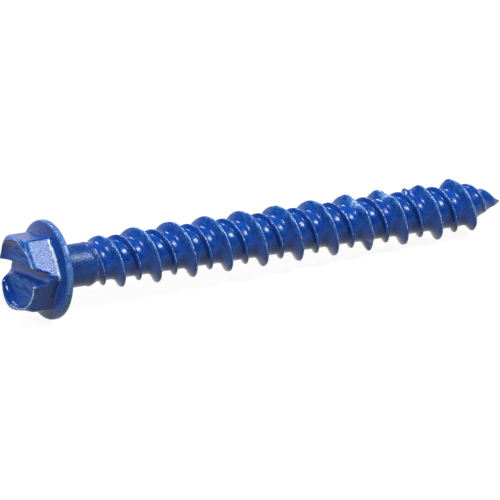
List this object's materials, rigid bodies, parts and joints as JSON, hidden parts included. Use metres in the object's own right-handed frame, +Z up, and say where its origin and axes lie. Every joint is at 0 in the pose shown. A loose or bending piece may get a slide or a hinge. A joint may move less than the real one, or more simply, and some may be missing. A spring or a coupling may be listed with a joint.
{
  "type": "concrete screw",
  "caption": "Blue coated concrete screw with a slotted, dished hex washer head, a plain neck, a right-hand high-low thread notched near its end, and a pointed tip.",
  "frame": {"origin": "on the ground, under the middle of the lying screw's box", "axes": "+X from the head toward the tip along the ground, +Z up"},
  "size_m": [0.048, 0.0086, 0.0087],
  "materials": {
    "coating": "semi-gloss blue corrosion coating, thin and pale along the thread crests"
  },
  "bodies": {
    "root": {"screw": "coating"}
  },
  "joints": []
}
